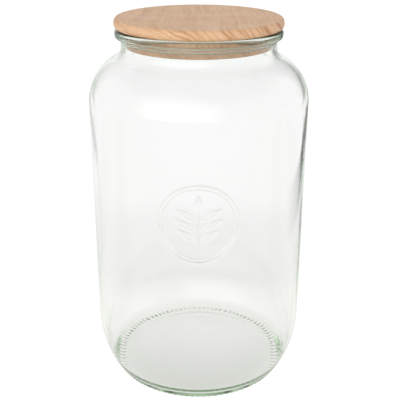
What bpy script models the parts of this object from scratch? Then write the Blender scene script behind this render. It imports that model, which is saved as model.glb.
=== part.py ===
"""Clear glass storage jar of about five litres, with a turned beech lid on a silicone seal.

Run it with: blender --background --python part.py
Lengths are metres, +Z is up, and the origin is the centre of the jar's footprint.
The jar is one moulded piece. Its wall is one outline, turned about the axis: up the
inside from the floor, over the rim and down the outside to the push-up of the base.
The lid's plug hangs in the mouth, and the seal ring sits in a groove of the plug.
"""

import math

import bpy
import bmesh
from mathutils import Matrix

OBJECT_NAME = "glass_storage_jar"

# Fits
SEAT_GAP = 0.0003
PLUG_CLEARANCE = 0.0013

# Jar: height and straight panel
JAR_HEIGHT = 0.2830
PANEL_RADIUS = 0.0845
PANEL_WALL = 0.0033

# Jar: shoulder, neck and mouth
SHOULDER_ROUND = 0.0373
NECK_FILLET = 0.0090
NECK_LENGTH = 0.0042
NECK_WALL = 0.0037
MOUTH_RADIUS = 0.0553
MOUTH_ROUND = 0.0018

# Jar: rim, with a full bead, a fine groove, a band and an undercut down to the neck
RIM_OVERHANG = 0.0045
BEAD_INSET = 0.0034
BEAD_DROP = 0.0035
RIM_GROOVE_DROP = 0.0041
RIM_GROOVE_DEPTH = 0.0004
RIM_GROOVE_WIDTH = 0.0010
RIM_BAND_INSET = 0.0003
RIM_BAND_HEIGHT = 0.0008
RIM_UNDERCUT_HEIGHT = 0.0040
UNDERCUT_SHARES = ((0.85, 0.10), (0.63, 0.25), (0.31, 0.50), (0.09, 0.75), (0.0, 1.0))

# Jar: heel and base
HEEL_HEIGHT = 0.0462
HEEL_CORNER = 0.0058
FOOT_INSET = 0.0169
FOOT_WIDTH = 0.0040
INNER_FOOT_INSET = 0.0045
INNER_CORNER = 0.0130
FLOOR_HEIGHT = 0.0052
FLOOR_CROWN = 0.0010
PUSH_UP_HEIGHT = 0.0026
FLOOR_RADIUS_SHARES = (0.0, 0.45, 0.80)
PUSH_UP_SHARES = ((0.88, 0.23), (0.70, 0.51), (0.45, 0.80), (0.0, 1.0))

# Jar: knurled bearing ring, radial bars that the jar stands on and that climb the heel's corner
KNURL_BARS = 96
KNURL_HEIGHT = 0.0003
KNURL_WIDTH = 0.0014
KNURL_SINK = 0.0008
KNURL_CLIMB = math.radians(46.0)

# Lid: disc with a full edge of two quarter ovals, and the plug below it
LID_RADIUS = 0.0638
LID_THICKNESS = 0.0075
LID_TOP_INSET = 0.0022
LID_BELLY_DROP = 0.0044
LID_BOTTOM_INSET = 0.0028
PLUG_LENGTH = 0.0136
PLUG_CHAMFER = 0.0008

# Seal ring, and its groove in the plug
SEAL_GROOVE_DEPTH = 0.0026
SEAL_GROOVE_HEIGHT = 0.0040
SEAL_GROOVE_DROP = 0.0055
SEAL_NOSE_LENGTH = 0.0013

# Counts for round stretches
TURN_STEPS = 60
SHOULDER_STEPS = 7
HEEL_STEPS = 6
FILLET_STEPS = 4
ROUND_STEPS = 3
EDGE_STEPS = 4
CLIMB_STEPS = 2
NOSE_STEPS = 6

# Closing of the turned shapes on their axis, and the least angle of an edge that shows
MERGE_DISTANCE = 0.00001
SHARP_ANGLE = math.radians(35.0)

# Colours, as linear values, with roughness and index of refraction
GLASS_COLOUR = (0.90, 0.96, 0.93, 1.0)
GLASS_ROUGHNESS = 0.02
GLASS_INDEX = 1.52
BEECH_COLOUR = (0.631, 0.462, 0.328, 1.0)
BEECH_ROUGHNESS = 0.55
SILICONE_COLOUR = (0.78, 0.76, 0.68, 1.0)
SILICONE_ROUGHNESS = 0.40

# Heights and radii that follow from the sizes above
NECK_RADIUS = MOUTH_RADIUS + NECK_WALL
RIM_RADIUS = NECK_RADIUS + RIM_OVERHANG
RIM_BAND_TOP = JAR_HEIGHT - RIM_GROOVE_DROP - RIM_GROOVE_WIDTH / 2.0
RIM_BAND_BOTTOM = RIM_BAND_TOP - RIM_BAND_HEIGHT
NECK_TOP = RIM_BAND_BOTTOM - RIM_UNDERCUT_HEIGHT
NECK_BOTTOM = NECK_TOP - NECK_LENGTH
FOOT_RADIUS = PANEL_RADIUS - FOOT_INSET
FOOT_INNER_RADIUS = FOOT_RADIUS - FOOT_WIDTH
LID_SEAT_HEIGHT = JAR_HEIGHT + SEAT_GAP
PLUG_RADIUS = MOUTH_RADIUS - PLUG_CLEARANCE
SEAL_GROOVE_RADIUS = PLUG_RADIUS - SEAL_GROOVE_DEPTH
SEAL_SEAT_HEIGHT = LID_SEAT_HEIGHT - SEAL_GROOVE_DROP - SEAL_GROOVE_HEIGHT + SEAT_GAP


def clear_scene():
    """Remove every object, so that the script starts from nothing."""
    for item in list(bpy.data.objects):
        bpy.data.objects.remove(item, do_unlink=True)


def new_collection(name):
    """Make a collection under the scene's own."""
    group = bpy.data.collections.new(name)
    bpy.context.scene.collection.children.link(group)
    return group


def oval_arc(centre_radius, centre_height, half_width, half_height, start, end, steps):
    """Points of a part of an oval, without its first point. Angles are radians."""
    points = []
    for step in range(1, steps + 1):
        angle = start + (end - start) * step / steps
        points.append(
            (
                centre_radius + half_width * math.cos(angle),
                centre_height + half_height * math.sin(angle),
            )
        )
    return points


def arc(centre_radius, centre_height, radius, start, end, steps):
    """Points of an arc in the turning plane, without its first point."""
    return oval_arc(centre_radius, centre_height, radius, radius, start, end, steps)


def shoulder_start():
    """Height where the shoulder's arc leaves the panel, so that it meets the neck's fillet."""
    reach = SHOULDER_ROUND + NECK_FILLET
    inward = (NECK_RADIUS + NECK_FILLET) - (PANEL_RADIUS - SHOULDER_ROUND)
    return NECK_BOTTOM - math.sqrt(reach * reach - inward * inward)


def heel_line(panel_radius, foot_radius, foot_height, corner):
    """From the foot, round the heel's corner and up its long arc to the panel.

    The long arc is tangent to the panel at HEEL_HEIGHT and to the corner's circle.
    """
    inset = panel_radius - foot_radius
    rise = HEEL_HEIGHT - foot_height - corner
    radius = (inset * inset + rise * rise - corner * corner) / (2.0 * (inset - corner))
    centre_radius = panel_radius - radius
    meeting = math.atan2(-rise, foot_radius - centre_radius)
    points = [(foot_radius, foot_height)]
    points += arc(foot_radius, foot_height + corner, corner, -math.pi / 2.0, meeting, ROUND_STEPS)
    points += arc(centre_radius, HEEL_HEIGHT, radius, meeting, 0.0, HEEL_STEPS)
    return points


def shoulder_line(wall, neck_radius, fillet):
    """Up the panel, over the shoulder's arc and up the hollow of the neck's fillet."""
    height = shoulder_start()
    radius = SHOULDER_ROUND - wall
    centre_radius = PANEL_RADIUS - SHOULDER_ROUND
    inward = neck_radius + fillet - centre_radius
    climb = math.sqrt((radius + fillet) ** 2 - inward * inward)
    meeting = math.atan2(climb, inward)
    points = [(PANEL_RADIUS - wall, height)]
    points += arc(centre_radius, height, radius, 0.0, meeting, SHOULDER_STEPS)
    points += arc(
        neck_radius + fillet,
        height + climb,
        fillet,
        math.pi + meeting,
        math.pi,
        FILLET_STEPS,
    )
    return points


def inner_line():
    """The inside of the jar, from the middle of its floor up to the mouth."""
    floor_radius = FOOT_RADIUS - INNER_FOOT_INSET
    points = []
    for share in FLOOR_RADIUS_SHARES:
        height = FLOOR_HEIGHT + FLOOR_CROWN * (1.0 - share * share)
        points.append((floor_radius * share, height))
    points += heel_line(PANEL_RADIUS - PANEL_WALL, floor_radius, FLOOR_HEIGHT, INNER_CORNER)
    points += shoulder_line(PANEL_WALL, MOUTH_RADIUS, NECK_FILLET + NECK_WALL)
    return points


def rim_line():
    """Over the rim: mouth's round, flat land, full bead, groove, band and undercut."""
    half_groove = RIM_GROOVE_WIDTH / 2.0
    groove_height = JAR_HEIGHT - RIM_GROOVE_DROP
    points = [(MOUTH_RADIUS, JAR_HEIGHT - MOUTH_ROUND)]
    points += arc(
        MOUTH_RADIUS + MOUTH_ROUND,
        JAR_HEIGHT - MOUTH_ROUND,
        MOUTH_ROUND,
        math.pi,
        math.pi / 2.0,
        ROUND_STEPS,
    )
    points.append((RIM_RADIUS - BEAD_INSET, JAR_HEIGHT))
    points += oval_arc(
        RIM_RADIUS - BEAD_INSET,
        JAR_HEIGHT - BEAD_DROP,
        BEAD_INSET,
        BEAD_DROP,
        math.pi / 2.0,
        0.0,
        EDGE_STEPS,
    )
    points.append((RIM_RADIUS, groove_height + half_groove))
    points.append((RIM_RADIUS - RIM_GROOVE_DEPTH, groove_height))
    points.append((RIM_RADIUS - RIM_BAND_INSET, RIM_BAND_TOP))
    points.append((RIM_RADIUS - RIM_BAND_INSET, RIM_BAND_BOTTOM))
    for out_share, down_share in UNDERCUT_SHARES:
        radius = NECK_RADIUS + RIM_OVERHANG * out_share
        points.append((radius, RIM_BAND_BOTTOM - RIM_UNDERCUT_HEIGHT * down_share))
    return points


def outer_line():
    """The outside of the jar, from the neck down to the bearing ring and the push-up."""
    upward = heel_line(PANEL_RADIUS, FOOT_RADIUS, KNURL_HEIGHT, HEEL_CORNER)
    upward += shoulder_line(0.0, NECK_RADIUS, NECK_FILLET)
    points = list(reversed(upward))
    points.append((FOOT_INNER_RADIUS, KNURL_HEIGHT))
    for out_share, up_share in PUSH_UP_SHARES:
        points.append((FOOT_INNER_RADIUS * out_share, KNURL_HEIGHT + PUSH_UP_HEIGHT * up_share))
    return points


def lid_line():
    """The lid, from the middle of its top face round its edge and down the grooved plug."""
    groove_top = -SEAL_GROOVE_DROP
    groove_bottom = groove_top - SEAL_GROOVE_HEIGHT
    belly = LID_THICKNESS - LID_BELLY_DROP
    points = [(0.0, LID_THICKNESS), (LID_RADIUS - LID_TOP_INSET, LID_THICKNESS)]
    points += oval_arc(
        LID_RADIUS - LID_TOP_INSET,
        belly,
        LID_TOP_INSET,
        LID_BELLY_DROP,
        math.pi / 2.0,
        0.0,
        EDGE_STEPS,
    )
    points += oval_arc(
        LID_RADIUS - LID_BOTTOM_INSET,
        belly,
        LID_BOTTOM_INSET,
        belly,
        0.0,
        -math.pi / 2.0,
        EDGE_STEPS,
    )
    points.append((PLUG_RADIUS, 0.0))
    points.append((PLUG_RADIUS, groove_top))
    points.append((SEAL_GROOVE_RADIUS, groove_top))
    points.append((SEAL_GROOVE_RADIUS, groove_bottom))
    points.append((PLUG_RADIUS, groove_bottom))
    points.append((PLUG_RADIUS, -PLUG_LENGTH + PLUG_CHAMFER))
    points.append((PLUG_RADIUS - PLUG_CHAMFER, -PLUG_LENGTH))
    points.append((0.0, -PLUG_LENGTH))
    return points


def seal_line():
    """The seal ring's section, closed: flat back in the groove, rounded nose to the glass."""
    back = SEAL_GROOVE_RADIUS + SEAT_GAP
    front = MOUTH_RADIUS - SEAT_GAP
    height = SEAL_GROOVE_HEIGHT - 2.0 * SEAT_GAP
    shoulder = front - SEAL_NOSE_LENGTH
    points = [(back, 0.0), (back, height), (shoulder, height)]
    for step in range(1, NOSE_STEPS):
        angle = math.pi / 2.0 - math.pi * step / NOSE_STEPS
        radius = shoulder + SEAL_NOSE_LENGTH * math.cos(angle)
        points.append((radius, height / 2.0 + height / 2.0 * math.sin(angle)))
    points.append((shoulder, 0.0))
    return points


def turned(name, outline, closed, height, material, group):
    """Turn an outline about the vertical axis. The outline runs down its outer side."""
    edges = [(index, index + 1) for index in range(len(outline) - 1)]
    if closed:
        edges.append((len(outline) - 1, 0))
    mesh = bpy.data.meshes.new(name)
    mesh.from_pydata([(radius, 0.0, level) for radius, level in outline], edges, [])
    mesh.materials.append(material)
    piece = bpy.data.objects.new(name, mesh)
    piece.location = (0.0, 0.0, height)
    group.objects.link(piece)
    turn = piece.modifiers.new("Turn", "SCREW")
    turn.axis = "Z"
    turn.angle = 2.0 * math.pi
    turn.steps = TURN_STEPS
    turn.render_steps = TURN_STEPS
    turn.use_merge_vertices = True
    turn.merge_threshold = MERGE_DISTANCE
    return piece


def settle(piece):
    """Turn a piece's modifiers into its mesh, smooth but for its real edges."""
    graph = bpy.context.evaluated_depsgraph_get()
    mesh = bpy.data.meshes.new_from_object(piece.evaluated_get(graph))
    mesh.shade_smooth()
    mesh.set_sharp_from_angle(angle=SHARP_ANGLE)
    piece.modifiers.clear()
    piece.data = mesh


def knurl_line():
    """A bar's side: along the foot, round the start of the heel's corner, back inside the glass."""
    corner_height = KNURL_HEIGHT + HEEL_CORNER
    down = -math.pi / 2.0
    crest = [(FOOT_INNER_RADIUS, 0.0), (FOOT_RADIUS, 0.0)]
    crest += arc(FOOT_RADIUS, corner_height, corner_height, down, down + KNURL_CLIMB, CLIMB_STEPS)
    inside = HEEL_CORNER - KNURL_SINK
    root = [(FOOT_INNER_RADIUS, corner_height - inside), (FOOT_RADIUS, corner_height - inside)]
    root += arc(FOOT_RADIUS, corner_height, inside, down, down + KNURL_CLIMB, CLIMB_STEPS)
    return crest + list(reversed(root))


def knurl_bar(bars, angle):
    """Add one bar of the bearing ring: its side, drawn out to the bar's width."""
    half = KNURL_WIDTH / 2.0
    corners = [bars.verts.new((radius, half, height)) for radius, height in knurl_line()]
    side = bars.faces.new(corners)
    drawn = bmesh.ops.extrude_face_region(bars, geom=[side])
    moved = [item for item in drawn["geom"] if isinstance(item, bmesh.types.BMVert)]
    bmesh.ops.translate(bars, vec=(0.0, -KNURL_WIDTH, 0.0), verts=moved)
    turn = Matrix.Rotation(angle, 4, "Z")
    bmesh.ops.transform(bars, matrix=turn, verts=corners + moved)


def add_knurl(jar, group):
    """Raise the ring of radial bars, joined to the underside of the turned jar."""
    bars = bmesh.new()
    for count in range(KNURL_BARS):
        knurl_bar(bars, 2.0 * math.pi * count / KNURL_BARS)
    bmesh.ops.recalc_face_normals(bars, faces=bars.faces)
    mesh = bpy.data.meshes.new("knurl_bars")
    bars.to_mesh(mesh)
    bars.free()
    tool = bpy.data.objects.new("knurl_bars", mesh)
    tool.hide_render = True
    tool.display_type = "WIRE"
    group.objects.link(tool)
    join = jar.modifiers.new("Knurl", "BOOLEAN")
    join.operation = "UNION"
    join.solver = "EXACT"
    join.object = tool


def glass_material():
    """Clear moulded glass with a faint green cast."""
    material = bpy.data.materials.new("clear_glass")
    material.use_nodes = True
    shader = material.node_tree.nodes["Principled BSDF"]
    shader.inputs["Base Color"].default_value = GLASS_COLOUR
    shader.inputs["Roughness"].default_value = GLASS_ROUGHNESS
    shader.inputs["Metallic"].default_value = 0.0
    shader.inputs["IOR"].default_value = GLASS_INDEX
    shader.inputs["Transmission Weight"].default_value = 1.0
    return material


def plain_material(name, colour, roughness):
    """An opaque, unpolished finish."""
    material = bpy.data.materials.new(name)
    material.use_nodes = True
    shader = material.node_tree.nodes["Principled BSDF"]
    shader.inputs["Base Color"].default_value = colour
    shader.inputs["Roughness"].default_value = roughness
    shader.inputs["Metallic"].default_value = 0.0
    return material


def build():
    """Make the jar, its lid and the seal ring between them."""
    clear_scene()
    parts = new_collection(OBJECT_NAME)
    tools = new_collection("tools")

    jar_outline = inner_line() + rim_line() + outer_line()
    jar = turned("glass_jar", jar_outline, False, 0.0, glass_material(), parts)
    add_knurl(jar, tools)
    settle(jar)

    beech = plain_material("oiled_beech", BEECH_COLOUR, BEECH_ROUGHNESS)
    lid = turned("beech_lid", lid_line(), False, LID_SEAT_HEIGHT, beech, parts)
    settle(lid)

    silicone = plain_material("pale_silicone", SILICONE_COLOUR, SILICONE_ROUGHNESS)
    seal = turned("seal_ring", seal_line(), True, SEAL_SEAT_HEIGHT, silicone, parts)
    settle(seal)


build()
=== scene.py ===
"""Clear glass storage jar with a turned beech lid: its finished pieces, floor, light and camera.

The file is laid out as an add-on and run as a script. Lengths are metres and +Z is up. The jar,
the lid and the seal ring are turned about the Z axis, like the solids that they stand for.
"""

import math

import bpy
import numpy as np
from bpy.props import FloatProperty
from bpy.props import FloatVectorProperty
from bpy.props import IntProperty
from bpy.props import PointerProperty
from mathutils import Matrix
from mathutils import Vector
from mathutils import noise


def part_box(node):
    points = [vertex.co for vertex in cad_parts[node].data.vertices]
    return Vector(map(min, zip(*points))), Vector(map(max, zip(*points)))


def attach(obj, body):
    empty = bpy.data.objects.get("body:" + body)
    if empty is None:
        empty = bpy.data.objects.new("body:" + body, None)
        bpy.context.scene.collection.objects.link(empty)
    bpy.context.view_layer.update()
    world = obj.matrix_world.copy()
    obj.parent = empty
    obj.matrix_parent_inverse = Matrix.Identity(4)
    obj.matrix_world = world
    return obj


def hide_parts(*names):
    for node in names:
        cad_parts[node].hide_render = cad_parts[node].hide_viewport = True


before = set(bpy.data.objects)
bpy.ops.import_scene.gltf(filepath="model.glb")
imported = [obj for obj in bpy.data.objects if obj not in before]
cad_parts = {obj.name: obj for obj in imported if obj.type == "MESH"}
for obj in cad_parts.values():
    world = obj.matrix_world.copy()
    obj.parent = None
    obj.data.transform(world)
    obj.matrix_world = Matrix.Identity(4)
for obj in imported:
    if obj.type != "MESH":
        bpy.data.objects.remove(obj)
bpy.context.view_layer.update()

bl_info = {
    "name": "Glass Storage Jar",
    "version": (1, 0, 0),
    "blender": (4, 5, 0),
    "location": "View3D > Sidebar > Storage Jar",
    "description": "Finish, floor, light and camera for a glass storage jar with a beech lid",
    "category": "Add Mesh",
}

JAR_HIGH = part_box("glass_jar")[1]
LID_LOW, LID_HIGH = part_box("beech_lid")
SEAL_LOW, SEAL_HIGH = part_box("seal_ring")


# Sizes and colours that a user would change


def length(name, description, default):
    """A length in metres."""
    return FloatProperty(
        name=name, description=description, default=default, min=0.0, unit="LENGTH", precision=5
    )


def colour(name, description, default):
    """A linear colour."""
    return FloatVectorProperty(
        name=name, description=description, default=default, min=0.0, max=1.0, subtype="COLOR"
    )


def degrees(name, description, default):
    """An angle, given here in degrees."""
    return FloatProperty(
        name=name, description=description, default=math.radians(default), subtype="ANGLE"
    )


def amount(name, description, default, least=0.0):
    """A plain number."""
    return FloatProperty(name=name, description=description, default=default, min=least)


class JarSizes(bpy.types.PropertyGroup):
    """The glass body's outline, from the floor over the rim and down to the push-up."""

    height: length("Height", "Top of the rim above the shelf", JAR_HIGH[2])
    panel_radius: length("Panel radius", "Outer radius of the straight wall", JAR_HIGH[0])
    wall: length("Wall", "Thickness of the straight wall", 0.0033)
    shoulder_round: length("Shoulder round", "Outer radius of the shoulder's arc", 0.0373)
    neck_fillet: length("Neck fillet", "Radius of the hollow below the neck", 0.0090)
    neck_length: length("Neck length", "Straight part of the neck", 0.0042)
    neck_wall: length("Neck wall", "Thickness of the glass at the neck", 0.0037)
    mouth_radius: length("Mouth radius", "Inner radius of the mouth", 0.0553)
    mouth_round: length("Mouth round", "Radius of the mouth's inner edge", 0.0018)
    rim_overhang: length("Rim overhang", "How far the rim stands out from the neck", 0.0045)
    bead_inset: length("Bead inset", "Width of the upper round of the rim's bead", 0.0034)
    bead_drop: length("Bead drop", "Height of the upper round of the rim's bead", 0.0035)
    groove_drop: length("Groove drop", "How far the fine groove lies below the rim's top", 0.0041)
    groove_depth: length("Groove depth", "Depth of the fine groove round the rim", 0.0004)
    groove_width: length("Groove width", "Width of the fine groove round the rim", 0.0010)
    band_inset: length("Band inset", "How far the lower band lies inside the bead", 0.0003)
    band_height: length("Band height", "Height of the band below the groove", 0.0008)
    undercut_height: length("Undercut height", "Height of the slope under the band", 0.0040)
    heel_height: length("Heel height", "Height at which the heel meets the wall", 0.0462)
    heel_corner: length("Heel corner", "Radius where the heel turns under", 0.0058)
    foot_inset: length("Foot inset", "How far the foot lies inside the wall", 0.0169)
    foot_width: length("Foot width", "Width of the ring that the jar stands on", 0.0040)
    inner_foot_inset: length("Floor inset", "How far the floor lies inside the foot", 0.0045)
    inner_corner: length("Floor corner", "Radius where the floor turns up", 0.0130)
    floor_height: length("Floor height", "Height of the inner floor at its edge", 0.0052)
    floor_crown: length("Floor crown", "Rise of the inner floor at its middle", 0.0010)
    push_up: length("Push-up", "Depth of the hollow under the base", 0.0026)
    waviness: length("Waviness", "Unevenness of the inside of the moulded wall", 0.00016)


class BearingRingSizes(bpy.types.PropertyGroup):
    """Radial bars under the foot, which climb the heel's corner a little."""

    bars: IntProperty(name="Bars", description="Number of bars", default=96, min=3, max=400)
    height: length("Bar height", "Height of a bar", 0.0003)
    root: length("Root width", "Width of a bar at its root", 0.0022)
    crest: length("Crest width", "Width of a bar at its crest", 0.0006)
    climb: degrees("Climb", "How far the bars reach round the corner", 46.0)


class ReliefSizes(bpy.types.PropertyGroup):
    """Moulded ornament on the front of the wall: a leafy sprig in an oval."""

    width: length("Width", "Width of the oval", 0.0610)
    height: length("Height", "Height of the oval", 0.0620)
    middle: length("Middle", "Height of the oval's middle above the shelf", 0.1580)
    rise: length("Rise", "How far the ornament stands out", 0.00100)
    line: length("Line", "Width of the oval's line", 0.0013)


class LidSizes(bpy.types.PropertyGroup):
    """The turned lid and its plug."""

    radius: length("Radius", "Radius of the disc", LID_HIGH[0])
    seat: length("Seat", "Height of the disc's underside", 0.2833)
    top: length("Top", "Height of the disc's top face", LID_HIGH[2])
    top_inset: length("Top inset", "How far the top face ends inside the widest place", 0.0022)
    belly_drop: length("Belly drop", "How far the widest place lies below the top face", 0.0044)
    bottom_inset: length("Bottom inset", "Inset of the underside from the widest place", 0.0028)
    plug_radius: length("Plug radius", "Radius of the plug", 0.0540)
    plug_bottom: length("Plug bottom", "Height of the plug's underside", LID_LOW[2])
    plug_chamfer: length("Plug chamfer", "Size of the plug's lower edge", 0.0008)
    groove_radius: length("Groove radius", "Radius at the bottom of the seal's groove", 0.0514)
    groove_top: length("Groove top", "Height of the groove's upper side", 0.2778)
    groove_bottom: length("Groove bottom", "Height of the groove's lower side", 0.2738)


class SealSizes(bpy.types.PropertyGroup):
    """The silicone ring between plug and mouth."""

    inner: length("Inner radius", "Radius of the ring's flat back", 0.0517)
    outer: length("Outer radius", "Radius of the ring's nose", SEAL_HIGH[0])
    nose: length("Nose", "Length of the ring's rounded nose", 0.0013)
    low: length("Low side", "Height of the ring's underside", SEAL_LOW[2])
    high: length("High side", "Height of the ring's upper side", SEAL_HIGH[2])


class FinishColours(bpy.types.PropertyGroup):
    """Colours of the three materials, and where glass and wood change on the way up."""

    glass: colour("Glass", "Tint of the light that passes through the glass", (0.76, 0.88, 0.73))
    glass_density: amount("Glass density", "Strength of the glass's tint", 24.0)
    # Edge-on glass colour: partly the glass's green cast, partly painted shade for the dark edge
    # lines.
    glass_edge_green_and_shade: colour("Glass, edge on", "Glass that is seen edge on", (0.25, 0.38, 0.22))
    glass_thick: colour("Glass, thick", "Glass of the rim and neck", (0.985, 1.0, 0.985))
    neck_glass: length("Thick glass", "Height above which the glass is thick and greener", 0.2680)
    beech_light: colour("Beech, light", "Early wood", (0.71, 0.46, 0.27))
    beech_dark: colour("Beech, dark", "Late wood", (0.42, 0.185, 0.070))
    # The plug's lighter, redder wood is painted light, standing in for light that the lid and the
    # glass keep off the plug.
    beech_plug_painted_light: colour("Beech, raw", "The plug's unoiled wood", (0.92, 0.54, 0.305))
    plug_painted_light_below: length("Raw below", "Height below which the lid's wood is unoiled", 0.2830)
    silicone: colour("Silicone", "Milky seal ring", (0.83, 0.76, 0.63))


class StudioSettings(bpy.types.PropertyGroup):
    """Floor, light and camera."""

    floor: colour("Floor", "Plain pale floor", (0.22, 0.22, 0.22))
    glow: amount("Glow", "Light that the floor gives off", 1.0)
    sky: amount("Sky", "Strength of the soft light all round", 1.0)
    front: amount("Front", "Strength of the soft glow in front", 0.9)
    key: amount("Key", "Power of the large front light", 4.0)
    lens: amount("Lens", "Focal length in millimetres", 68.88, 1.0)
    distance: length("Distance", "Camera's distance in front of the jar's axis", 0.5796)
    eye: length("Eye height", "Camera's height above the shelf", 0.3809)
    aside: length("Aside", "How far the camera stands to the right of the axis", 0.0011)
    pitch: degrees("Pitch", "Downward tilt", 22.33)
    roll: degrees("Roll", "Turn about the line of sight", 0.15)


GROUPS = {
    "jar_sizes": JarSizes,
    "jar_bearing_ring": BearingRingSizes,
    "jar_relief": ReliefSizes,
    "jar_lid": LidSizes,
    "jar_seal": SealSizes,
    "jar_finish": FinishColours,
    "jar_studio": StudioSettings,
}


# Fineness of the meshes. The relief and the bearing ring lie in blocks of the glass's skin that are
# finer than the rest.

COLUMNS = 160
INSIDE_STEPS = 18
INSIDE_ROWS = 22
OUTSIDE_STEPS = 24
CORNER_STEPS = 12
ROWS_ABOVE = 9
RELIEF_ROWS = 20
RELIEF_STEP = 0.0033
RELIEF_COLUMNS = 20
RELIEF_FINENESS = 10
ROWS_BELOW = 7
RING_ROWS = 15
RING_FINENESS = 6
FOOT_SHARES = (0.05, 0.28, 0.50, 0.72, 0.95, 1.0)
PUSH_UP_ROWS = 14
TURNED_STEPS = 192

# Edges that are sharper than this stay edges
GLASS_SHARP = math.radians(50.0)
TURNED_SHARP = math.radians(35.0)

# Waves of the glass's inside: share, scale across and up, and shift
WALL_WAVES = ((1.0, 2.6, 14.0, 0.0), (0.45, 6.5, 9.0, 7.3))

# Where the bars of the bearing ring run out, and how far off the foot's skin a point may lie
BAR_FADE_SHARE = 0.93
BAR_FADE_LENGTH = 0.0030
SKIN_TOLERANCE = 0.00003

# Where the glass's edge-on darkening starts and is full, from a face seen squarely (0) to edge on
# (1). It is partly the glass's green cast and partly painted shade for the dark edge lines.
# The first of each is for the wall, the second for the thick rim and neck. The last is the
# height over which one becomes the other.
EDGE_GREEN_AND_SHADE_START = (0.80, 0.58)
EDGE_GREEN_AND_SHADE_FULL = (1.0, 0.92)
NECK_BLEND = 0.006

# The beech's growth rings lie round a pith below the lid's left edge. The streaks keep the given
# share of their contrast on flat faces.
PITH_OFFSET = (0.064, 0.0, -0.210)
RING_SPACING = 0.0020
RING_WANDER = 6.0
FLAT_CONTRAST = 0.28
FLECK_COLOUR = (0.30, 0.16, 0.08, 1.0)
# Height over which the plug's painted light fades in.
PLUG_PAINTED_LIGHT_BLEND = 0.0002

# How bright the floor and the sky are to the camera, a little over white
SEEN_WHITE = 1.05

# The floor, and its glow at distances behind the jar's axis. The glow is painted light, dimmer
# close to the jar as painted shadow.
FLOOR_REACH = 12.0
FLOOR_LEVEL = -0.0001
GLOW_REACH = 1.2
GLOW_WITH_PAINTED_SHADOW = (
    (-0.30, (0.80, 0.80, 0.80)),
    (-0.14, (0.74, 0.74, 0.73)),
    (-0.085, (0.61, 0.605, 0.58)),
    (-0.03, (0.685, 0.68, 0.665)),
    (0.03, (0.78, 0.765, 0.755)),
    (0.08, (0.80, 0.785, 0.775)),
    (0.14, (0.69, 0.675, 0.68)),
    (0.27, (0.715, 0.695, 0.715)),
    (0.36, (0.785, 0.765, 0.785)),
    (0.80, (0.775, 0.755, 0.775)),
    (1.10, (0.785, 0.765, 0.785)),
)

# Direction of the soft glow in front
FRONT_GLOW_WAY = (-0.36, -0.90, 0.22)

# Grey cards: name, low corner, high corner and shade. Their edges fade over a share of their size,
# and light that has passed more faces of glass than two doesn't meet them.
CARDS = (
    ("card_right_flat", (0.28, 0.0, 0.0004), (0.50, 1.6, 0.0004), 0.11),
    ("card_left_flat", (-0.50, 0.30, 0.0004), (-0.36, 1.0, 0.0004), 0.74),
    ("card_right", (0.9, 0.55, -0.5), (0.9, 2.8, 2.0), 0.36),
    ("card_left", (-0.9, 0.65, -0.5), (-0.9, 2.2, 1.8), 0.75),
)
CARD_FADE = 0.25
CARD_DEPTH = 3.0

# Kinds of node sockets for plain numbers
NUMBER_KINDS = {int: "Int", float: "Float"}


# Outlines in the turning plane, as (radius, height) points that run down their outer side


def spread(start, end, count):
    """Evenly spaced numbers from start to end."""
    return np.linspace(start, end, count).tolist()


def oval_arc(centre_radius, centre_height, half_width, half_height, start, end, steps):
    """Points of a part of an oval, without its first point. Angles are radians."""
    points = []
    for step in range(1, steps + 1):
        angle = start + (end - start) * step / steps
        across = half_width * math.cos(angle)
        up = half_height * math.sin(angle)
        points.append((centre_radius + across, centre_height + up))
    return points


def arc(centre_radius, centre_height, radius, start, end, steps):
    """Points of an arc, without its first point."""
    return oval_arc(centre_radius, centre_height, radius, radius, start, end, steps)


def smooth_step(share):
    """Ease from 0 to 1 with no kink at either end."""
    share = np.clip(share, 0.0, 1.0)
    return share * share * (3.0 - 2.0 * share)


def neck_radius(jar):
    """Outer radius of the neck."""
    return jar.mouth_radius + jar.neck_wall


def band_top(jar):
    """Height of the upper edge of the rim's band."""
    return jar.height - jar.groove_drop - jar.groove_width / 2.0


def shoulder_start(jar):
    """Height where the shoulder's arc leaves the wall."""
    neck_bottom = band_top(jar) - jar.band_height - jar.undercut_height - jar.neck_length
    reach = jar.shoulder_round + jar.neck_fillet
    inward = neck_radius(jar) + jar.neck_fillet - (jar.panel_radius - jar.shoulder_round)
    return neck_bottom - math.sqrt(reach * reach - inward * inward)


def heel_line(jar, panel_radius, foot_radius, foot_height, corner, steps):
    """From the foot, round the heel's corner and up its long arc to the wall."""
    inset = panel_radius - foot_radius
    rise = jar.heel_height - foot_height - corner
    radius = (inset * inset + rise * rise - corner * corner) / (2.0 * (inset - corner))
    centre_radius = panel_radius - radius
    meeting = math.atan2(-rise, foot_radius - centre_radius)
    points = [(foot_radius, foot_height)]
    points += arc(foot_radius, foot_height + corner, corner, -math.pi / 2.0, meeting, CORNER_STEPS)
    points += arc(centre_radius, jar.heel_height, radius, meeting, 0.0, steps)
    return points


def shoulder_line(jar, wall, neck, fillet, steps):
    """Over the shoulder's arc and up the hollow of the neck's fillet."""
    height = shoulder_start(jar)
    radius = jar.shoulder_round - wall
    centre_radius = jar.panel_radius - jar.shoulder_round
    inward = neck + fillet - centre_radius
    climb = math.sqrt((radius + fillet) ** 2 - inward * inward)
    meeting = math.atan2(climb, inward)
    points = arc(centre_radius, height, radius, 0.0, meeting, steps)
    points += arc(neck + fillet, height + climb, fillet, math.pi + meeting, math.pi, steps // 2)
    return points


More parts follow.
